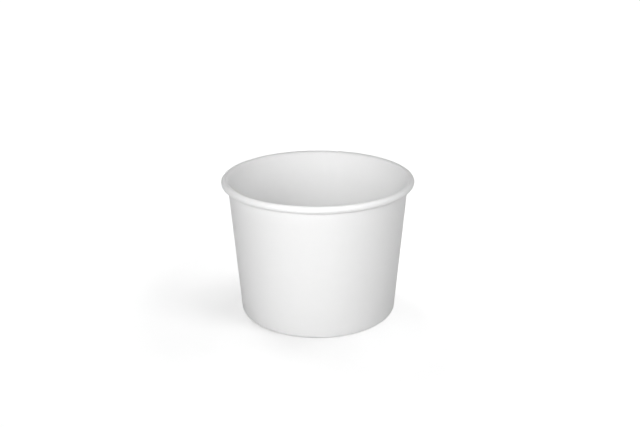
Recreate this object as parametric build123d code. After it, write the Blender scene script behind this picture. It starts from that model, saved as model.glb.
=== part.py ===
from build123d import *
import os
from math import asin, atan2, cos, degrees, hypot, radians, sin

# A squat paper soup cup, open at the top, standing on its foot.
# One sheet of board is wrapped into a cone, lapped at the side, rolled outward at the rim and
# folded up inside at the foot. A second sheet is drawn into a shallow disc with a turned-down
# skirt, and the skirt is held in the foot fold. Z runs up the cup's axis from the table.

# Overall sizes, in millimetres
cup_height = 71.0
rim_diameter = 98.0
base_diameter = 81.5

# The two boards, and the sealing film left between faces that are stuck together
wall_board = 0.45
base_board = 0.40
seal_film = 0.03

# Rolled rim: its height, the flat across its top, and the gap where its free edge meets the wall
roll_height = 3.4
roll_flat = 0.15
roll_gap = 0.10

# Base disc: height of its underside above the table, and the gap under the cut edge of its skirt
base_recess = 8.0
skirt_gap = 0.15

# Foot fold: inside radius of its two bends, and the room left between the tucked-up edge and the
# underside of the base disc
fold_radius = 0.10
tuck_clearance = 1.0

# Side seam: width of the lap, length of the step up onto it, and its place round the cup
seam_lap = 8.0
seam_step = 6.0
seam_bearing = 76.0

# Overrun of the cutting wedge past the board
cut_overrun = 2.0

# Angles of a section circle's top and bottom, a quarter and a half turn
TOP = 90
BOTTOM = 270
HALF_TURN = 180

# Middle line of the wall board: it turns about these centres, tightly at the foot and round the
# hollow roll at the rim
foot_bend = fold_radius + wall_board / 2
foot_outside = fold_radius + wall_board
foot_centre = Vector(base_diameter / 2 - foot_outside, foot_outside)
roll_bend = (roll_height - wall_board) / 2
roll_level = cup_height - roll_height / 2
roll_outer_centre = Vector(rim_diameter / 2 - roll_height / 2, roll_level)
roll_inner_centre = roll_outer_centre - Vector(roll_flat, 0)

# The wall is the straight line that leaves the foot bend on one side and meets the roll on the other
rise = roll_inner_centre - foot_centre
wall_slope = degrees(
    atan2(rise.Y, rise.X) + asin((foot_bend + roll_bend) / hypot(rise.X, rise.Y))
)
along_wall = Vector(cos(radians(wall_slope)), sin(radians(wall_slope)))
into_cup = Vector(-along_wall.Y, along_wall.X)
wall_foot = foot_centre - into_cup * foot_bend
wall_top = roll_inner_centre + into_cup * roll_bend


def on_wall(level, inward=0.0):
    """Point at a level on a line parallel to the wall's middle line, set inward square to it."""
    run = (level - wall_foot.Y) * along_wall.X / along_wall.Y
    return Vector(wall_foot.X + run - inward / along_wall.Y, level)


def board_of_revolution(middle_line, thickness):
    """Board of even thickness along a middle line drawn in the half plane, turned about Z."""
    section = trace(middle_line, thickness)
    return revolve(Plane.XZ * section, axis=Axis.Z)


def wall_middle_line():
    """Middle line of the wall board, from the tucked edge round the foot, up and round the roll."""
    tuck_inset = wall_board + base_board + 2 * seal_film
    foot_flat = (tuck_inset - 2 * foot_bend) / along_wall.Y
    tuck_centre = foot_centre - Vector(foot_flat, 0)
    tuck_foot = tuck_centre + into_cup * foot_bend
    down_bend = Vector(0, foot_bend)
    half_roll = Vector(0, roll_bend)
    roll_base = roll_outer_centre - half_roll
    roll_edge = on_wall(roll_base.Y + wall_board / 2, -(wall_board / 2 + roll_gap))

    return [
        Line(on_wall(base_recess - tuck_clearance, tuck_inset), tuck_foot),
        CenterArc(tuck_centre, foot_bend, wall_slope + TOP, HALF_TURN - wall_slope),
        Line(tuck_centre - down_bend, foot_centre - down_bend),
        CenterArc(foot_centre, foot_bend, BOTTOM, wall_slope),
        Line(wall_foot, wall_top),
        CenterArc(roll_inner_centre, roll_bend, wall_slope + TOP, -wall_slope),
        Line(roll_inner_centre + half_roll, roll_outer_centre + half_roll),
        CenterArc(roll_outer_centre, roll_bend, TOP, -HALF_TURN),
        Line(roll_base, (roll_edge.X, roll_base.Y)),
    ]


def disc_middle_line():
    """Middle line of the base board, from the skirt's edge up to its hard crease and in to the axis."""
    skirt_inset = (wall_board + base_board) / 2 + seal_film
    skirt_level = foot_outside + skirt_gap
    bend = base_board / 2
    disc_level = base_recess + base_board / 2
    bend_centre = on_wall(disc_level - bend, skirt_inset + bend)
    bend_foot = bend_centre - into_cup * bend
    return [
        Line(on_wall(skirt_level, skirt_inset), bend_foot),
        CenterArc(bend_centre, bend, wall_slope - TOP, HALF_TURN - wall_slope),
        Line((bend_centre.X, disc_level), (0, disc_level)),
    ]


# Side seam, in bearings about the axis: the inner ply ends at seam_bearing, and the outer ply
# climbs onto it over the step and ends across the lap
seam_low = foot_outside
seam_high = cup_height - roll_height
seam_radius = on_wall((seam_low + seam_high) / 2).X
step_start = seam_bearing + degrees(seam_step / seam_radius)
lap_end = seam_bearing - degrees(seam_lap / seam_radius)
ply = wall_board / along_wall.Y


def polar(radius, bearing):
    """Point at a radius and bearing about the cup's axis."""
    return Vector(radius * cos(radians(bearing)), radius * sin(radians(bearing)))


def seam_section(level):
    """Level section through the seam: two plies across the lap, one ply stepping up onto them."""
    inside = on_wall(level, wall_board / 2).X
    outside = inside + ply
    proud = outside + ply
    lap_turn = lap_end - seam_bearing
    outline = [
        Line(polar(outside, step_start), polar(proud, seam_bearing)),
        CenterArc((0, 0), proud, seam_bearing, lap_turn),
        Line(polar(proud, lap_end), polar(inside, lap_end)),
        CenterArc((0, 0), inside, lap_end, -lap_turn),
        Line(polar(inside, seam_bearing), polar(outside, seam_bearing)),
        Line(polar(outside, seam_bearing), polar(inside, step_start)),
        Line(polar(inside, step_start), polar(outside, step_start)),
    ]
    return Plane.XY.offset(level) * make_face(outline)


def window_section(level):
    """Level section of the gap in the single-ply wall that the seam fills, clear of the tuck."""
    near = on_wall(level, (wall_board + base_board) / 2).X
    far = on_wall(level, -(wall_board / 2 + cut_overrun)).X
    turn = lap_end - step_start
    outline = [
        Line(polar(near, step_start), polar(far, step_start)),
        CenterArc((0, 0), far, step_start, turn),
        Line(polar(far, lap_end), polar(near, lap_end)),
        CenterArc((0, 0), near, lap_end, -turn),
    ]
    return Plane.XY.offset(level) * make_face(outline)


def side_wall():
    """Wall board with its foot fold and rolled rim, and the lapped seam let into it."""
    plain = board_of_revolution(wall_middle_line(), wall_board)
    window = loft([window_section(seam_low), window_section(seam_high)], ruled=True)
    seam = loft([seam_section(seam_low), seam_section(seam_high)], ruled=True)
    return plain - window + seam


def base_disc():
    """Base board: a flat disc whose turned-down skirt stands in the foot fold."""
    return board_of_revolution(disc_middle_line(), base_board)


os.makedirs("parts", exist_ok=True)
export_step(side_wall(), "parts/side_wall.step")
export_step(base_disc(), "parts/base_disc.step")
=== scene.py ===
"""Paper soup cup, dressed for its portrait: wrapped board wall, drawn base disc, studio and camera."""

import logging
import math
from dataclasses import dataclass, field
from enum import Enum, IntEnum
from functools import cached_property

import bpy
import numpy as np
from mathutils import Matrix, Vector


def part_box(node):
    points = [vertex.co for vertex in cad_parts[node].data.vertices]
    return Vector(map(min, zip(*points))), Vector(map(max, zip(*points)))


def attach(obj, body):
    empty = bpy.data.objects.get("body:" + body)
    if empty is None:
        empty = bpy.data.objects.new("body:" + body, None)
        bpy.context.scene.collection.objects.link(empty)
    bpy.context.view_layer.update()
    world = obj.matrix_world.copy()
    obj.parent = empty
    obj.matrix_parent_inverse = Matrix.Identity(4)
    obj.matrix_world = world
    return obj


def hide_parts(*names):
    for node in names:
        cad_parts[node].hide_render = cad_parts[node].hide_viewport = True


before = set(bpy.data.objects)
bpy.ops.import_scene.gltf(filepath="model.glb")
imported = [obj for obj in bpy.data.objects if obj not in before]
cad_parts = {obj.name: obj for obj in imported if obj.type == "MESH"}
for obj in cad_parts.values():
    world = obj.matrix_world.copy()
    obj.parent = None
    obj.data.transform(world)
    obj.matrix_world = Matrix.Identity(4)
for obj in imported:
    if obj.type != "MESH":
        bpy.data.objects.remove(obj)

LOG = logging.getLogger("soup_cup")
BODY = "root"
BAKE_MAP = "OFBake"

# A unit, a tolerance, parts of a turn in degrees, and a colour
MM = 0.001
SAME_POINT = 1e-9
QUARTER, HALF, THREE_QUARTERS = 90.0, 180.0, 270.0
WHITE = (1.0, 1.0, 1.0, 1.0)

# Points that the lamps face: half way up the cup's axis, and the rim's inner edge on the camera's side
CUP_MIDDLE = (0.0, 0.0, 35.5 * MM)
NEAR_RIM = (0.0, -46.0 * MM, 70.0 * MM)


class BoardFace(IntEnum):
    """Face of the board that a polygon lies on. The value is its material slot."""

    OUTSIDE = 0
    INSIDE = 1
    CUT = 2


class Zone(Enum):
    """Part of the folded board that a row of points lies in."""

    TUCK = "tuck"
    FOOT = "foot"
    WALL = "wall"
    ROLL = "roll"
    SKIRT = "skirt"
    FLOOR = "floor"


class Lit(Enum):
    """What a lamp lights: the cup alone, or the floor alone with the cup's shadow on it."""

    CUP = "cup"
    FLOOR = "floor"


class MixInput(IntEnum):
    """Place of a mix node's input among those that share its name."""

    FACTOR = 0
    FIRST_NUMBER = 2
    SECOND_NUMBER = 3
    FIRST_COLOUR = 6
    SECOND_COLOUR = 7


class MixOutput(IntEnum):
    """Place of a mix node's output among those that share its name."""

    NUMBER = 0
    COLOUR = 2


def smooth_step(value: np.ndarray) -> np.ndarray:
    """Eases a ramp from 0 to 1, flat at both ends."""
    ramp = np.clip(value, 0.0, 1.0)
    return ramp * ramp * (3.0 - 2.0 * ramp)


def turned(angle_deg: float) -> np.ndarray:
    """Unit vector at an angle in the half plane of radius and height."""
    angle = math.radians(angle_deg)
    return np.array([math.cos(angle), math.sin(angle)])


def about_axis(reach: np.ndarray, level: np.ndarray, turns: np.ndarray) -> np.ndarray:
    """Points at radii and levels, turned about the cup's axis, as rows by columns."""
    return np.stack([reach * np.cos(turns), reach * np.sin(turns), level], -1)


@dataclass
class MiddleLine:
    """Middle line of a board, sampled in the half plane of radius and height.

    Each row has a point, a normal and a zone. Normals point to the board's outside face, which is
    on the right of the direction of travel.
    """

    points: list[np.ndarray] = field(default_factory=list)
    normals: list[np.ndarray] = field(default_factory=list)
    zones: list[Zone] = field(default_factory=list)

    def _add(self, point: np.ndarray, normal: np.ndarray, zone: Zone) -> None:
        """Adds one row, unless it repeats the last one.

        Args:
            point: Radius and height, in metres.
            normal: Unit normal of the outside face.
            zone: Zone of the row.
        """
        if self.points and np.allclose(self.points[-1], point, atol=SAME_POINT):
            return
        self.points.append(point)
        self.normals.append(normal)
        self.zones.append(zone)

    def run(self, start: np.ndarray, end: np.ndarray, rows: int, zone: Zone) -> None:
        """Adds a straight run.

        Args:
            start: First point, in metres.
            end: Last point, in metres.
            rows: Number of steps along the run.
            zone: Zone of its rows.
        """
        along = (end - start) / np.linalg.norm(end - start)
        normal = np.array([along[1], -along[0]])
        for share in np.linspace(0.0, 1.0, rows + 1):
            self._add(start + (end - start) * share, normal, zone)

    def bend(self, centre: np.ndarray, radius: float, start_deg: float, turn_deg: float,
             rows: int, zone: Zone) -> None:
        """Adds a tangent bend.

        Args:
            centre: Centre of the bend, in metres.
            radius: Radius of the middle line, in metres.
            start_deg: Angle of the first point about the centre.
            turn_deg: Turn to the last point, positive to the left.
            rows: Number of steps round the bend.
            zone: Zone of its rows.
        """
        outward = 1.0 if turn_deg > 0 else -1.0
        for share in np.linspace(0.0, 1.0, rows + 1):
            spoke = turned(start_deg + turn_deg * share)
            self._add(centre + spoke * radius, spoke * outward, zone)

    def arrays(self) -> tuple[np.ndarray, np.ndarray, np.ndarray]:
        """Gives the rows as arrays.

        Returns:
            Points, normals, and running lengths from the first row.
        """
        points = np.array(self.points)
        steps = np.linalg.norm(np.diff(points, axis=0), axis=1)
        return points, np.array(self.normals), np.concatenate([[0.0], np.cumsum(steps)])


@dataclass(frozen=True)
class CupSection:
    """Sizes of the folded section that the wall and the base share, in metres.

    Attributes:
        rim_radius: Outside radius of the rolled rim.
        height: Top of the rim above the table.
        base_radius: Outside radius of the foot.
        wall_board: Thickness of the wall board.
        base_board: Thickness of the base board.
        seal_film: Film between boards that are stuck together.
        roll_height: Height of the roll.
        roll_flat: Flat across the top of the roll.
        roll_gap: Gap between the roll's free edge and the wall.
        base_recess: Underside of the base above the table.
        skirt_gap: Height of the skirt's cut edge above the centre of the foot's bend.
        disc_crease: Inside radius of the bend between the base and its skirt.
        tuck_clearance: Room between the tucked-up edge and the base.
        fold_radius: Inside radius of the bend between the wall and the foot.
        tuck_radius: Inside radius of the bend between the foot and the tuck.
    """

    rim_radius: float
    height: float
    base_radius: float = 40.75 * MM
    wall_board: float = 0.45 * MM
    base_board: float = 0.40 * MM
    seal_film: float = 0.03 * MM
    roll_height: float = 3.4 * MM
    roll_flat: float = 0.15 * MM
    roll_gap: float = 0.10 * MM
    base_recess: float = 8.0 * MM
    skirt_gap: float = 0.15 * MM
    disc_crease: float = 0.03 * MM
    tuck_clearance: float = 1.0 * MM
    fold_radius: float = 0.40 * MM
    tuck_radius: float = 0.03 * MM

    @cached_property
    def foot_bend(self) -> float:
        """Radius of the middle line in the bend between the wall and the foot."""
        return self.fold_radius + self.wall_board / 2

    @cached_property
    def foot_outside(self) -> float:
        """Radius of the outside face in the bend between the wall and the foot."""
        return self.fold_radius + self.wall_board

    @cached_property
    def tuck_bend(self) -> float:
        """Radius of the middle line in the bend between the foot and the tuck."""
        return self.tuck_radius + self.wall_board / 2

    @cached_property
    def foot_centre(self) -> np.ndarray:
        """Centre of the bend between the foot and the wall."""
        return np.array([self.base_radius - self.foot_outside, self.foot_outside])

    @cached_property
    def roll_bend(self) -> float:
        """Radius of the middle line round the roll."""
        return (self.roll_height - self.wall_board) / 2

    @cached_property
    def roll_outer(self) -> np.ndarray:
        """Centre of the roll's outer half turn."""
        return np.array([self.rim_radius, self.height]) - self.roll_height / 2

    @cached_property
    def roll_inner(self) -> np.ndarray:
        """Centre of the bend from the wall onto the roll."""
        return self.roll_outer - np.array([self.roll_flat, 0.0])

    @cached_property
    def slope(self) -> float:
        """Works out the lean of the wall, tangent to the foot bend and to the roll.

        Returns:
            Angle of the wall from the level, in degrees.
        """
        rise = self.roll_inner - self.foot_centre
        lean = math.asin((self.foot_bend + self.roll_bend) / float(np.linalg.norm(rise)))
        return math.degrees(math.atan2(rise[1], rise[0]) + lean)

    @cached_property
    def along(self) -> np.ndarray:
        """Direction up the wall."""
        return turned(self.slope)

    @cached_property
    def inward(self) -> np.ndarray:
        """Direction square to the wall, into the cup."""
        return turned(self.slope + QUARTER)

    @cached_property
    def wall_foot(self) -> np.ndarray:
        """Point where the wall leaves the foot bend."""
        return self.foot_centre - self.inward * self.foot_bend

    def on_wall(self, level: float, inset: float = 0.0) -> np.ndarray:
        """Point at a level on a line parallel to the wall, set inward square to it."""
        run = (level - self.wall_foot[1]) * self.along[0] / self.along[1]
        return np.array([self.wall_foot[0] + run - inset / self.along[1], level])


@dataclass(frozen=True)
class MapStrip:
    """Stretch along one side of the bake map."""

    start: float
    length: float

    def at(self, share: np.ndarray) -> np.ndarray:
        """Places on the map, at shares of the stretch."""
        return self.start + self.length * share


@dataclass
class Sheet:
    """Board with two faces and cut edges, from grids of points.

    Attributes:
        outside: Points of the outside face, rows along the middle line by columns round the cup.
        inside: Points of the inside face, matching the outside ones.
        outside_map: Bake coordinates of the outside points.
        inside_map: Bake coordinates of the inside points.
        wraps: True where the last column joins the first and the last row closes on the axis.
        edge_strip: Width of a cut edge on the bake map.
        edge_ends: Where a cut edge starts and ends along the bake map.
        edge_middle: Level of the middle cut edge on the bake map.
        middle_lane: Number of the cut edge that lies there.
        sharp_deg: Angle between two polygons from which their border is sharp.
    """

    outside: np.ndarray
    inside: np.ndarray
    outside_map: np.ndarray
    inside_map: np.ndarray
    wraps: bool = False
    edge_strip: float = 0.004
    edge_ends: tuple[float, float] = (0.02, 0.98)
    edge_middle: float = 0.5
    middle_lane: int = 2
    sharp_deg: float = 50.0

    def _quads(self) -> list[tuple[BoardFace, np.ndarray]]:
        """Joins neighbouring points into quads.

        Returns:
            Each board face with the corner indices of its quads, counted through both grids.
        """
        rows, columns = self.outside.shape[:2]
        out = np.arange(rows * columns).reshape(rows, columns)
        ins = out + rows * columns
        if self.wraps:
            out = np.concatenate([out, out[:, :1]], axis=1)
            ins = np.concatenate([ins, ins[:, :1]], axis=1)
        groups = [
            (BoardFace.OUTSIDE, np.stack([out[:-1, :-1], out[:-1, 1:], out[1:, 1:], out[1:, :-1]], -1)),
            (BoardFace.INSIDE, np.stack([ins[:-1, :-1], ins[1:, :-1], ins[1:, 1:], ins[:-1, 1:]], -1)),
            (BoardFace.CUT, np.stack([out[0, 1:], out[0, :-1], ins[0, :-1], ins[0, 1:]], -1)),
        ]
        if not self.wraps:
            groups += [
                (BoardFace.CUT, np.stack([out[-1, :-1], out[-1, 1:], ins[-1, 1:], ins[-1, :-1]], -1)),
                (BoardFace.CUT, np.stack([out[:-1, 0], out[1:, 0], ins[1:, 0], ins[:-1, 0]], -1)),
                (BoardFace.CUT, np.stack([out[1:, -1], out[:-1, -1], ins[:-1, -1], ins[1:, -1]], -1)),
            ]
        return [(kind, grid.reshape(-1, 4)) for kind, grid in groups]

    def _poles(self) -> list[tuple[BoardFace, np.ndarray]]:
        """Closes a wrapped sheet on the axis, with one pole for each face.

        Returns:
            Each board face with the corner indices of its triangles. The poles come after both grids.
        """
        rows, columns = self.outside.shape[:2]
        last = np.arange((rows - 1) * columns, rows * columns)
        after = np.roll(last, -1)
        inner = rows * columns
        pole_out = np.full(columns, 2 * inner)
        pole_in = np.full(columns, 2 * inner + 1)
        return [
            (BoardFace.OUTSIDE, np.stack([last, after, pole_out], -1)),
            (BoardFace.INSIDE, np.stack([last + inner, pole_in, after + inner], -1)),
        ]

    def _edge_map(self, count: int, lane: int) -> np.ndarray:
        """Lays a run of cut-edge quads in a lane of its own on the bake map.

        Args:
            count: Number of quads in the run.
            lane: Number of the run.

        Returns:
            Bake coordinates of the corners, quad by quad.
        """
        low = np.full(count, self.edge_middle + (lane - self.middle_lane) * 2 * self.edge_strip)
        high = low + self.edge_strip
        ends = np.linspace(*self.edge_ends, count + 1)
        corners = ((ends[:-1], low), (ends[1:], low), (ends[1:], high), (ends[:-1], high))
        return np.stack([np.stack(corner, -1) for corner in corners], axis=1)

    def build(self, name: str) -> bpy.types.Object:
        """Makes the mesh object.

        Args:
            name: Name of the piece.

        Returns:
            The new object, linked to the scene. Its polygons are indexed by BoardFace.
        """
        points = [self.outside.reshape(-1, 3), self.inside.reshape(-1, 3)]
        places = [self.outside_map.reshape(-1, 2), self.inside_map.reshape(-1, 2)]
        groups = self._quads()
        if self.wraps:
            points += [self.outside[-1].mean(0)[None], self.inside[-1].mean(0)[None]]
            places += [self.outside_map[-1].mean(0)[None], self.inside_map[-1].mean(0)[None]]
            groups += self._poles()
        place = np.concatenate(places)
        faces: list[list[int]] = []
        slots: list[int] = []
        corners: list[np.ndarray] = []
        lane = 0
        for kind, grid in groups:
            faces += grid.tolist()
            slots += [int(kind)] * len(grid)
            if kind is BoardFace.CUT:
                corners.append(self._edge_map(len(grid), lane).reshape(-1, 2))
                lane += 1
            else:
                corners.append(place[grid].reshape(-1, 2))
        mesh = bpy.data.meshes.new(name)
        mesh.from_pydata(np.concatenate(points).tolist(), [], faces)
        mesh.polygons.foreach_set("material_index", slots)
        mesh.polygons.foreach_set("use_smooth", [True] * len(faces))
        layer = mesh.uv_layers.new(name=BAKE_MAP)
        layer.uv.foreach_set("vector", np.concatenate(corners).astype(np.float32).ravel())
        mesh.set_sharp_from_angle(angle=math.radians(self.sharp_deg))
        mesh.update()
        piece = bpy.data.objects.new(name, mesh)
        bpy.context.scene.collection.objects.link(piece)
        return piece


class Graph:
    """Shorthand for wiring a node tree."""

    def __init__(self, tree: bpy.types.NodeTree) -> None:
        """Starts from an emptied tree."""
        self.tree = tree
        tree.nodes.clear()

    def add(self, kind: str, **settings: object) -> bpy.types.Node:
        """Adds a node.

        Args:
            kind: Blender's identifier of the node type.
            **settings: Attributes of the node to set.

        Returns:
            The new node.
        """
        node = self.tree.nodes.new(kind)
        for key, value in settings.items():
            setattr(node, key, value)
        return node

    def link(self, source: bpy.types.NodeSocket, target: bpy.types.NodeSocket) -> None:
        """Links an output to an input."""
        self.tree.links.new(source, target)

    def feed(self, node: bpy.types.Node, **inputs: object) -> bpy.types.Node:
        """Sets or links inputs by name, with underscores for spaces.

        Args:
            node: Node to feed.
            **inputs: Constants, or output sockets to link.

        Returns:
            The same node.
        """
        for key, value in inputs.items():
            target = node.inputs[key.replace("_", " ")]
            if isinstance(value, bpy.types.NodeSocket):
                self.link(value, target)
            else:
                target.default_value = value
        return node


@dataclass(frozen=True)
class Grain:
    """Character of a noise: how many finer layers it has, how strong they are, how far it is warped."""

    detail: float
    roughness: float
    warp: float = 0.0


@dataclass(frozen=True)
class BoardFinish:
    """Finish of one face of paper board: tone, formation clouds, fibre grain and gloss.

    Lengths are in metres. Widths, lengths and sizes are those of one fibre, cloud or cockle, and the
    fibre share is the fibres' part in the mottle of the tone.
    """

    name: str
    tone: tuple[float, float, float]
    cloud_tone: tuple[float, float, float]
    roughness: float
    roughness_spread: float
    fibre_width: float
    fibre_length: float
    cloud_size: float
    cockle_size: float
    fibre_depth: float
    cockle_depth: float
    gloss_coat: float = 0.0
    coat_roughness: float = 0.3
    specular: float = 0.5
    fibre_share: float = 0.45
    fibre_grain: Grain = Grain(detail=5.0, roughness=0.62, warp=0.6)
    cloud_grain: Grain = Grain(detail=3.0, roughness=0.5)
    cockle_grain: Grain = Grain(detail=2.0, roughness=0.4)

    @staticmethod
    def _noise(graph: Graph, place: bpy.types.NodeSocket, scale: float,
               grain: Grain) -> bpy.types.NodeSocket:
        """Adds a noise to a material.

        Args:
            graph: Wiring of the material.
            place: Coordinates to take.
            scale: How many times finer the noise is than its coordinates.
            grain: Character of the noise.

        Returns:
            Output with the noise's height, from 0 to 1.
        """
        noise = graph.feed(graph.add("ShaderNodeTexNoise"), Vector=place, Scale=scale,
                           Detail=grain.detail, Roughness=grain.roughness, Distortion=grain.warp)
        return noise.outputs["Fac"]

    def material(self) -> bpy.types.Material:
        """Builds the procedural material.

        Returns:
            A material whose colour, roughness and bump follow the board's fibres and formation.
        """
        made = bpy.data.materials.new(self.name)
        made.use_nodes = True
        graph = Graph(made.node_tree)
        place = graph.add("ShaderNodeTexCoord").outputs["Object"]
        across, up = 1.0 / self.fibre_width, 1.0 / self.fibre_length
        fibres = graph.feed(graph.add("ShaderNodeMapping"), Vector=place, Scale=(across, across, up))
        fibre = self._noise(graph, fibres.outputs["Vector"], 1.0, self.fibre_grain)
        cloud = self._noise(graph, place, 1.0 / self.cloud_size, self.cloud_grain)
        cockle = self._noise(graph, place, 1.0 / self.cockle_size, self.cockle_grain)

        mottle = graph.feed(graph.add("ShaderNodeMix", data_type="FLOAT"), Factor=self.fibre_share)
        graph.link(cloud, mottle.inputs[MixInput.FIRST_NUMBER])
        graph.link(fibre, mottle.inputs[MixInput.SECOND_NUMBER])
        colour = graph.add("ShaderNodeMix", data_type="RGBA")
        graph.link(mottle.outputs[MixOutput.NUMBER], colour.inputs[MixInput.FACTOR])
        colour.inputs[MixInput.FIRST_COLOUR].default_value = (*self.cloud_tone, 1.0)
        colour.inputs[MixInput.SECOND_COLOUR].default_value = (*self.tone, 1.0)

        sheen = graph.feed(graph.add("ShaderNodeMapRange"), Value=fibre,
                           To_Min=self.roughness - self.roughness_spread,
                           To_Max=self.roughness + self.roughness_spread)
        grain = graph.feed(graph.add("ShaderNodeBump"), Height=fibre, Strength=1.0,
                           Distance=self.fibre_depth)
        ripple = graph.feed(graph.add("ShaderNodeBump"), Height=cockle, Strength=1.0,
                            Distance=self.cockle_depth, Normal=grain.outputs["Normal"])

        shader = graph.feed(graph.add("ShaderNodeBsdfPrincipled"),
                            Base_Color=colour.outputs[MixOutput.COLOUR],
                            Roughness=sheen.outputs["Result"], Normal=ripple.outputs["Normal"],
                            Specular_IOR_Level=self.specular, Coat_Weight=self.gloss_coat,
                            Coat_Roughness=self.coat_roughness)
        graph.feed(graph.add("ShaderNodeOutputMaterial"), Surface=shader.outputs["BSDF"])
        return made


OUTSIDE_FINISH = BoardFinish(
    name="clay_coated_board", tone=(0.90, 0.90, 0.90), cloud_tone=(0.875, 0.875, 0.872),
    roughness=0.68, roughness_spread=0.06, fibre_width=0.35 * MM, fibre_length=1.6 * MM,
    cloud_size=5.0 * MM, cockle_size=9.0 * MM, fibre_depth=0.006 * MM, cockle_depth=0.02 * MM,
    specular=0.25)
INSIDE_FINISH = BoardFinish(
    name="film_coated_board", tone=(0.90, 0.90, 0.90), cloud_tone=(0.88, 0.88, 0.878),
    roughness=0.55, roughness_spread=0.05, fibre_width=0.40 * MM, fibre_length=1.4 * MM,
    cloud_size=6.0 * MM, cockle_size=8.0 * MM, fibre_depth=0.004 * MM, cockle_depth=0.02 * MM,
    gloss_coat=0.04, coat_roughness=0.35, specular=0.30)
CUT_FINISH = BoardFinish(
    name="cut_board_edge", tone=(0.84, 0.83, 0.80), cloud_tone=(0.72, 0.70, 0.66),
    roughness=0.85, roughness_spread=0.08, fibre_width=0.12 * MM, fibre_length=0.12 * MM,
    cloud_size=1.5 * MM, cockle_size=0.5 * MM, fibre_depth=0.03 * MM, cockle_depth=0.02 * MM,
    specular=0.25)


@dataclass
class BoardPiece:
    """What both pieces of board share: the folded section, and how they are dressed."""

    section: CupSection

    def dress(self, piece: bpy.types.Object, finishes: dict[BoardFace, BoardFinish],
              made: dict[str, bpy.types.Material]) -> None:
        """Gives each face of the board its finish.

        Args:
            piece: Object with polygons indexed by BoardFace.
            finishes: Finish of each face.
            made: Materials already built, by finish name; new ones are added.
        """
        for face in BoardFace:
            finish = finishes[face]
            if finish.name not in made:
                made[finish.name] = finish.material()
            piece.data.materials.append(made[finish.name])


@dataclass(frozen=True)
class Wave:
    """One wave of the want of roundness: its share, how often it swings, and its phase in radians."""

    share: float
    count: int
    phase: float = 0.0


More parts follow.
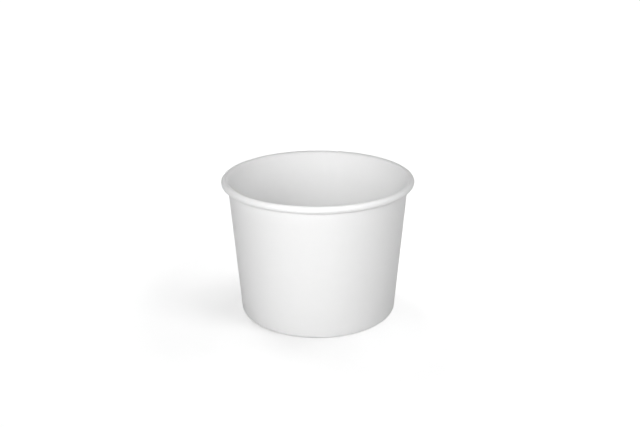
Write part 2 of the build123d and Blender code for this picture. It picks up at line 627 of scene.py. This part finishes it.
@dataclass
class SideWall(BoardPiece):
    """Wall board: one blank wrapped into a cone, lapped, rolled at the rim and folded at the foot.

    Attributes:
        seam_deg: Angle of the inner ply's cut edge about the axis.
        lap: Width over which the two ends of the blank lie on each other.
        step: Length over which the board climbs onto the lap.
        columns: Number of steps once round the cup.
        lap_ply_share: Share of its thickness that each ply keeps in the lap.
        end_ply_share: The same where the lap runs into the rim and into the foot.
        squeeze_reach: Height over which the one share passes into the other.
        ply_gap: Gap between the two plies.
        knurl_depth: Depth of the crimping ribs pressed into the tuck.
        knurl_count: Number of those ribs.
        knurl_fade_share: Share of the tuck over which the ribs fade at each end.
        sway: Greatest want of roundness, at the rim.
        waves: Waves that make up the want of roundness. Their shares add up to 1.
        around: Stretch of the bake map that goes round the cup.
        outside_up: Stretch of the bake map that goes up the outside face.
        inside_up: Stretch of the bake map that goes up the inside face.

    The row counts are the numbers of steps along each stretch of the section.
    """

    seam_deg: float = 76.0
    lap: float = 8.0 * MM
    step: float = 6.0 * MM
    columns: int = 480
    lap_ply_share: float = 0.95
    end_ply_share: float = 0.49
    squeeze_reach: float = 6.0 * MM
    ply_gap: float = 0.004 * MM
    knurl_depth: float = 0.06 * MM
    knurl_count: int = 120
    knurl_fade_share: float = 0.12
    sway: float = 0.07 * MM
    waves: tuple[Wave, ...] = (Wave(0.55, 2, 0.6), Wave(0.30, 3, 2.1), Wave(0.15, 7))
    around: MapStrip = MapStrip(start=0.01, length=0.98)
    outside_up: MapStrip = MapStrip(start=0.01, length=0.45)
    inside_up: MapStrip = MapStrip(start=0.54, length=0.45)
    tuck_rows: int = 8
    tuck_bend_rows: int = 5
    flat_rows: int = 1
    foot_bend_rows: int = 7
    wall_rows: int = 24
    roll_start_rows: int = 8
    roll_turn_rows: int = 14
    roll_end_rows: int = 2

    def middle_line(self) -> MiddleLine:
        """Draws the section of the wall board.

        Returns:
            Middle line from the tucked edge round the foot, up the wall and round the roll.
        """
        cup = self.section
        inset = cup.wall_board + cup.base_board + 2 * cup.seal_film
        tuck_centre = cup.on_wall(cup.tuck_bend + cup.wall_board / 2, inset - cup.tuck_bend)
        foot_end = np.array([cup.foot_centre[0], cup.wall_board / 2])
        crown = np.array([0.0, cup.roll_bend])
        wall_top = cup.roll_inner + cup.inward * cup.roll_bend
        roll_base = cup.roll_outer - crown
        free_edge = cup.on_wall(roll_base[1] + cup.wall_board / 2, -(cup.wall_board / 2 + cup.roll_gap))
        tuck_top = cup.on_wall(cup.base_recess - cup.tuck_clearance, inset)
        line = MiddleLine()
        line.run(tuck_top, tuck_centre + cup.inward * cup.tuck_bend, self.tuck_rows, Zone.TUCK)
        line.bend(tuck_centre, cup.tuck_bend, cup.slope + QUARTER, HALF - cup.slope,
                  self.tuck_bend_rows, Zone.FOOT)
        line.run(np.array([tuck_centre[0], foot_end[1]]), foot_end, self.flat_rows, Zone.FOOT)
        line.bend(cup.foot_centre, cup.foot_bend, THREE_QUARTERS, cup.slope,
                  self.foot_bend_rows, Zone.FOOT)
        line.run(cup.wall_foot, wall_top, self.wall_rows, Zone.WALL)
        line.bend(cup.roll_inner, cup.roll_bend, cup.slope + QUARTER, -cup.slope,
                  self.roll_start_rows, Zone.ROLL)
        line.run(cup.roll_inner + crown, cup.roll_outer + crown, self.flat_rows, Zone.ROLL)
        line.bend(cup.roll_outer, cup.roll_bend, QUARTER, -HALF, self.roll_turn_rows, Zone.ROLL)
        line.run(roll_base, np.array([free_edge[0], roll_base[1]]), self.roll_end_rows, Zone.ROLL)
        return line

    def _squeeze(self, line: MiddleLine) -> np.ndarray:
        """Works out how far the lap is pressed together.

        Args:
            line: Middle line of the board.

        Returns:
            Share of its thickness that each ply keeps in the lap, row by row.
        """
        levels = np.array(line.points)[:, 1]
        roll_level = self.section.height - self.section.roll_height
        room = np.minimum(levels - self.section.foot_centre[1], roll_level - levels)
        ease = smooth_step(room / self.squeeze_reach)
        on_wall = np.array([zone is Zone.WALL for zone in line.zones])
        return self.end_ply_share + (self.lap_ply_share - self.end_ply_share) * ease * on_wall

    def _lap_weights(self, arc: np.ndarray, girth: float) -> tuple[np.ndarray, np.ndarray]:
        """Tells how far each column belongs to the lap's inner ply and to its outer ply.

        Args:
            arc: Length of each column round the wall from the inner ply's cut edge.
            girth: Length once round the wall.

        Returns:
            Weights of the inner ply and of the outer ply, from 0 to 1.
        """
        inner = 1.0 - smooth_step((arc - self.lap) / self.step)
        outer = smooth_step((arc - girth + self.step) / self.step)
        return inner, outer

    def _knurl(self, line: MiddleLine, lengths: np.ndarray, turns: np.ndarray) -> np.ndarray:
        """Presses the crimping ribs into the tuck.

        Args:
            line: Middle line of the board.
            lengths: Running length of each row.
            turns: Angle of each column.

        Returns:
            Height of the ribs, as rows by columns. It is never above 0.
        """
        tucked = np.array([zone is Zone.TUCK for zone in line.zones])
        reach = lengths[tucked].max()
        inset = self.knurl_fade_share * reach
        fade = smooth_step(lengths / inset) * smooth_step((reach - lengths) / inset) * tucked
        ribs = (1.0 - np.cos(turns * self.knurl_count)) / 2
        return -self.knurl_depth * fade[:, None] * ribs[None, :]

    def _sway(self, levels: np.ndarray, turns: np.ndarray) -> np.ndarray:
        """Works out a slight want of roundness, which grows towards the rim and only draws inward.

        Args:
            levels: Height of each row.
            turns: Angle of each column.

        Returns:
            Change of the radius, as rows by columns. It is never above 0.
        """
        total = sum(wave.share * np.cos(wave.count * turns + wave.phase) for wave in self.waves)
        draw = (1.0 - total) / 2
        return -self.sway * (levels / self.section.height)[:, None] * draw[None, :]

    def sheet(self) -> Sheet:
        """Wraps the middle line round the cup as one blank with its two ends lapped.

        The blank starts at the inner ply's cut edge and runs clockwise as seen from above. Its grids
        are handed on in reverse, so that the faces look outward.

        Returns:
            The lapped board.
        """
        line = self.middle_line()
        points, normals, lengths = line.arrays()
        board = self.section.wall_board
        radius = self.section.on_wall(self.section.height / 2)[0]
        spacing = math.tau / self.columns
        lap_columns = round(self.lap / radius / spacing)
        sweep = np.arange(self.columns + lap_columns + 1) * spacing
        turns = math.radians(self.seam_deg) - sweep
        inner, outer = self._lap_weights(sweep * radius, math.tau * radius)
        squeeze = self._squeeze(line)[:, None]
        lapped = np.maximum(inner, outer)[None, :]
        half = board / 2 * (1.0 + (squeeze - 1.0) * lapped)
        inside = -board / 2 + outer[None, :] * (squeeze * board + self.ply_gap)
        lift = self._knurl(line, lengths, turns)
        sway = self._sway(points[:, 1], turns)

        def face(offset: np.ndarray) -> np.ndarray:
            """Points of one face, at an offset along the board's normals."""
            moved = points[:, :, None] + normals[:, :, None] * (offset + lift)[:, None]
            return about_axis(moved[:, 0] + sway, moved[:, 1], turns)

        across = np.broadcast_to(self.around.at(sweep / sweep[-1]), (len(points), len(sweep)))
        up = np.broadcast_to((lengths / lengths[-1])[:, None], across.shape)
        return Sheet(
            outside=face(inside + 2 * half)[:, ::-1], inside=face(inside)[:, ::-1],
            outside_map=np.stack([across, self.outside_up.at(up)], -1),
            inside_map=np.stack([across, self.inside_up.at(up)], -1))

    def build(self) -> bpy.types.Object:
        """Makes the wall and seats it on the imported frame.

        Returns:
            The wall's object.
        """
        piece = self.sheet().build("side_wall_board")
        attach(piece, BODY)
        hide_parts("side_wall")
        return piece


@dataclass
class BaseDisc(BoardPiece):
    """Base board: a flat disc drawn down at its edge into a skirt that stands in the foot fold.

    Attributes:
        columns: Number of steps once round the disc.
        pleat_count: Number of draw pleats at the bend.
        pleat_depth: Half the depth of a pleat.
        pleat_reach: Distance from the bend over which the pleats fade.
        dish: How far the middle of the disc sinks.
        map_radius: Radius of the flattened disc on the bake map.
        outside_middle: Middle of the outside face on the bake map.
        inside_middle: Middle of the inside face on the bake map.

    The row counts are the numbers of steps along each stretch of the section.
    """

    columns: int = 240
    pleat_count: int = 60
    pleat_depth: float = 0.035 * MM
    pleat_reach: float = 2.5 * MM
    dish: float = 0.25 * MM
    map_radius: float = 0.22
    outside_middle: tuple[float, float] = (0.25, 0.25)
    inside_middle: tuple[float, float] = (0.75, 0.75)
    skirt_rows: int = 4
    crease_rows: int = 8
    floor_rows: int = 22

    def middle_line(self) -> MiddleLine:
        """Draws the section of the base board.

        Returns:
            Middle line from the skirt's lower edge, up its bend and in to a board's thickness from the
            axis, where the sheet closes.
        """
        cup = self.section
        inset = (cup.wall_board + cup.base_board) / 2 + cup.seal_film
        start = cup.on_wall(cup.foot_outside + cup.skirt_gap, inset)
        bend = cup.disc_crease + cup.base_board / 2
        level = cup.base_recess + cup.base_board / 2
        centre = cup.on_wall(level - bend, inset + bend)
        line = MiddleLine()
        line.run(start, centre - cup.inward * bend, self.skirt_rows, Zone.SKIRT)
        line.bend(centre, bend, cup.slope - QUARTER, HALF - cup.slope, self.crease_rows, Zone.SKIRT)
        line.run(np.array([centre[0], level]), np.array([cup.base_board, level]), self.floor_rows,
                 Zone.FLOOR)
        return line

    def sheet(self) -> Sheet:
        """Turns the middle line about the axis, with draw pleats at the bend and a slight dish.

        Returns:
            The drawn board.
        """
        points, normals, lengths = self.middle_line().arrays()
        board = self.section.base_board
        turns = np.arange(self.columns) * math.tau / self.columns
        rim = points[:, 0].max()
        near_bend = np.exp(-(((points[:, 0] - rim) / self.pleat_reach) ** 2))
        pleats = self.pleat_depth * near_bend[:, None] * (np.cos(turns * self.pleat_count) - 1.0)[None, :]
        dish = -self.dish * smooth_step(1.0 - points[:, 0] / rim)[:, None]

        def face(offset: float) -> np.ndarray:
            """Points of one face, at an offset along the board's normals."""
            moved = points[:, :, None] + normals[:, :, None] * (offset + pleats)[:, None]
            return about_axis(moved[:, 0], moved[:, 1] + dish, turns)

        flat = (lengths[-1] - lengths + points[-1, 0])[:, None] / (lengths[-1] + points[-1, 0])
        disc = np.stack([flat * np.cos(turns), flat * np.sin(turns)], -1)
        return Sheet(
            outside=face(board / 2), inside=face(-board / 2),
            outside_map=np.array(self.outside_middle) + self.map_radius * disc,
            inside_map=np.array(self.inside_middle) + self.map_radius * disc, wraps=True)

    def build(self) -> bpy.types.Object:
        """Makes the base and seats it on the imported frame.

        Returns:
            The base's object.
        """
        piece = self.sheet().build("base_disc_board")
        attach(piece, BODY)
        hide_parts("base_disc")
        return piece


@dataclass(frozen=True)
class Softbox:
    """Square area lamp, placed about the point that it faces.

    Bearing 0 is on the camera's side of the cup, 90 to its right. Angles are in degrees, lengths in
    metres and the power in watts.
    """

    name: str
    bearing: float
    elevation: float
    power: float
    distance: float = 1.2
    side: float = 0.50
    aim: tuple[float, float, float] = CUP_MIDDLE
    lights: Lit = Lit.CUP

    def place(self) -> bpy.types.Object:
        """Hangs the lamp.

        Returns:
            The lamp's object.
        """
        bearing, elevation = math.radians(self.bearing), math.radians(self.elevation)
        level = math.cos(elevation)
        away = Vector((math.sin(bearing) * level, -math.cos(bearing) * level, math.sin(elevation)))
        lamp = bpy.data.lights.new(self.name, "AREA")
        lamp.shape = "SQUARE"
        lamp.size = self.side
        lamp.energy = self.power
        placed = bpy.data.objects.new(self.name, lamp)
        placed.location = Vector(self.aim) + away * self.distance
        placed.rotation_euler = away.to_track_quat("Z", "Y").to_euler()
        bpy.context.scene.collection.objects.link(placed)
        return placed


@dataclass
class Studio:
    """White floor, white surround and soft lamps.

    Attributes:
        lamps: Lamps to hang.
        floor_side: Side of the square floor.
        floor_drop: How far the floor lies under the foot, so that the two don't meet.
        floor_tone: Colour of the floor, which takes the shadow.
        floor_white: White that the floor shows to the eye by itself, near the cup.
        fade_start: Distance from the axis at which that white starts to rise.
        fade_end: Distance at which it reaches the white of the surround.
    """

    lamps: tuple[Softbox, ...]
    floor_side: float = 8.0
    floor_drop: float = 0.01 * MM
    floor_tone: tuple[float, float, float] = (0.60, 0.60, 0.60)
    floor_white: float = 0.50
    fade_start: float = 0.25
    fade_end: float = 0.90

    @staticmethod
    def _seen(graph: Graph) -> bpy.types.NodeSocket:
        """Tells what the camera sees directly, in gloss or through clear stuff.

        Args:
            graph: Wiring of the surface or the world.

        Returns:
            Output that is 1 for such a ray and 0 for any other.
        """
        path = graph.add("ShaderNodeLightPath")
        seen = path.outputs["Is Camera Ray"]
        for name in ("Is Glossy Ray", "Is Transmission Ray"):
            either = graph.add("ShaderNodeMath", operation="MAXIMUM")
            graph.link(seen, either.inputs[0])
            graph.link(path.outputs[name], either.inputs[1])
            seen = either.outputs[0]
        return seen

    def surround(self) -> None:
        """Sets the world, which is white to the eye and sheds no soft light on the cup."""
        world = bpy.data.worlds.new("white_surround")
        world.use_nodes = True
        graph = Graph(world.node_tree)
        white = graph.feed(graph.add("ShaderNodeBackground"), Color=WHITE, Strength=self._seen(graph))
        graph.feed(graph.add("ShaderNodeOutputWorld"), Surface=white.outputs[0])
        bpy.context.scene.world = world

    def _floor_paint(self) -> bpy.types.Material:
        """Mixes the floor's paint.

        Returns:
            A pale matt material that also shows some white to the eye, and more of it further out.
        """
        paint = bpy.data.materials.new("white_floor")
        paint.use_nodes = True
        graph = Graph(paint.node_tree)
        matt = graph.feed(graph.add("ShaderNodeBsdfDiffuse"), Color=(*self.floor_tone, 1.0))
        place = graph.add("ShaderNodeTexCoord").outputs["Object"]
        reach = graph.feed(graph.add("ShaderNodeVectorMath", operation="LENGTH"), Vector=place)
        white = graph.feed(graph.add("ShaderNodeMapRange", interpolation_type="SMOOTHSTEP"),
                           Value=reach.outputs["Value"], From_Min=self.fade_start, From_Max=self.fade_end,
                           To_Min=self.floor_white, To_Max=1.0)
        shown = graph.add("ShaderNodeMath", operation="MULTIPLY")
        graph.link(white.outputs["Result"], shown.inputs[0])
        graph.link(self._seen(graph), shown.inputs[1])
        glow = graph.feed(graph.add("ShaderNodeEmission"), Color=WHITE, Strength=shown.outputs[0])
        both = graph.add("ShaderNodeAddShader")
        graph.link(matt.outputs[0], both.inputs[0])
        graph.link(glow.outputs[0], both.inputs[1])
        graph.feed(graph.add("ShaderNodeOutputMaterial"), Surface=both.outputs[0])
        return paint

    def floor(self) -> bpy.types.Object:
        """Lays the plain pale floor that takes the cup's shadow and fades into the white surround.

        Returns:
            The floor's object.
        """
        half = self.floor_side / 2
        below = -self.floor_drop
        mesh = bpy.data.meshes.new("floor")
        corners = [(-half, -half, below), (half, -half, below), (half, half, below), (-half, half, below)]
        mesh.from_pydata(corners, [], [(0, 1, 2, 3)])
        mesh.materials.append(self._floor_paint())
        laid = bpy.data.objects.new("floor", mesh)
        bpy.context.scene.collection.objects.link(laid)
        return laid

    def build(self, pieces: list[bpy.types.Object]) -> None:
        """Sets up the surround, the floor and every lamp.

        Args:
            pieces: Pieces of the cup.
        """
        self.surround()
        lit: dict[Lit, bpy.types.Collection] = {}
        for kind, members in ((Lit.CUP, pieces), (Lit.FLOOR, [self.floor()])):
            lit[kind] = bpy.data.collections.new(f"lit_{kind.value}")
            for member in members:
                lit[kind].objects.link(member)
        for lamp in self.lamps:
            lamp.place().light_linking.receiver_collection = lit[lamp.lights]


@dataclass(frozen=True)
class PortraitCamera:
    """Camera at the photograph's viewing angle. The image is taken as 640 by 427 pixels.

    The image's width and the focal length are in pixels, the sensor's width in millimetres, other
    lengths in metres, and angles in degrees.
    """

    image_width: float = 640.0
    focal_pixels: float = 786.68
    sensor_width: float = 36.0
    elevation: float = 20.2
    distance: float = 407.88 * MM
    roll: float = -0.2
    aim: tuple[float, float, float] = (1.076 * MM, 0.0, 50.45 * MM)
    clip_start: float = 10.0 * MM

    def place(self) -> bpy.types.Object:
        """Makes the camera and sets it as the scene's.

        Returns:
            The camera's object.
        """
        angle = math.radians(self.elevation)
        away = Vector((0.0, -math.cos(angle), math.sin(angle)))
        data = bpy.data.cameras.new("portrait_camera")
        data.sensor_width = self.sensor_width
        data.lens = self.focal_pixels * self.sensor_width / self.image_width
        data.clip_start = self.clip_start
        placed = bpy.data.objects.new("portrait_camera", data)
        level = away.to_track_quat("Z", "Y").to_matrix().to_4x4()
        tilt = Matrix.Rotation(math.radians(self.roll), 4, "Z")
        placed.matrix_world = Matrix.Translation(Vector(self.aim) + away * self.distance) @ level @ tilt
        bpy.context.scene.collection.objects.link(placed)
        bpy.context.scene.camera = placed
        return placed


LAMPS = (
    Softbox("front_near", bearing=0.0, elevation=25.4, distance=0.3033, side=0.08, power=0.325,
            aim=NEAR_RIM),
    Softbox("rim_near", bearing=0.0, elevation=81.5, distance=0.0809, side=0.04, power=0.026,
            aim=NEAR_RIM),
    Softbox("front_left", bearing=-20.0, elevation=18.0, power=3.20),
    Softbox("front_left_high", bearing=-20.0, elevation=30.0, power=1.92),
    Softbox("left", bearing=-40.0, elevation=18.0, power=1.40),
    Softbox("front_right", bearing=20.0, elevation=18.0, power=0.49),
    Softbox("right", bearing=40.0, elevation=18.0, power=1.21),
    Softbox("front_low", bearing=20.0, elevation=6.0, side=0.30, power=0.20),
    Softbox("right_back", bearing=110.0, elevation=30.0, power=2.40),
    Softbox("back_right", bearing=145.0, elevation=30.0, power=0.39),
    Softbox("back", bearing=215.0, elevation=30.0, power=1.20),
    Softbox("left_back", bearing=250.0, elevation=30.0, power=0.25),
    Softbox("back_low", bearing=200.0, elevation=0.0, distance=0.25, side=0.03, power=0.19),
    Softbox("floor_right", bearing=55.0, elevation=50.0, side=0.35, power=3.26, lights=Lit.FLOOR),
    Softbox("floor_right_low", bearing=68.0, elevation=40.0, side=0.35, power=1.00, lights=Lit.FLOOR),
    Softbox("floor_right_back", bearing=110.0, elevation=50.0, power=3.24, lights=Lit.FLOOR),
    Softbox("floor_back", bearing=145.0, elevation=50.0, power=1.65, lights=Lit.FLOOR),
    Softbox("floor_left_back", bearing=215.0, elevation=50.0, power=4.88, lights=Lit.FLOOR),
    Softbox("floor_top", bearing=0.0, elevation=89.9, side=0.80, power=4.57, lights=Lit.FLOOR),
)


def main() -> None:
    """Builds the cup, dresses it and sets up the studio."""
    logging.basicConfig(level=logging.INFO, format="%(name)s: %(message)s")
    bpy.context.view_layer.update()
    bpy.context.scene.view_settings.view_transform = "Standard"
    camera = PortraitCamera().place()
    LOG.info("camera %s, lens %.2f mm", camera.name, camera.data.lens)

    _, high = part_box("side_wall")
    section = CupSection(rim_radius=high.x, height=high.z)
    materials: dict[str, bpy.types.Material] = {}
    finishes = {
        BoardFace.OUTSIDE: OUTSIDE_FINISH,
        BoardFace.INSIDE: INSIDE_FINISH,
        BoardFace.CUT: CUT_FINISH,
    }
    pieces: list[bpy.types.Object] = []
    for part in (SideWall(section), BaseDisc(section)):
        piece = part.build()
        part.dress(piece, finishes, materials)
        pieces.append(piece)
        LOG.info("%s: %d faces", piece.name, len(piece.data.polygons))
    Studio(lamps=LAMPS).build(pieces)
    LOG.info("studio: %d lamps", len(LAMPS))


if __name__ == "__main__":
    main()
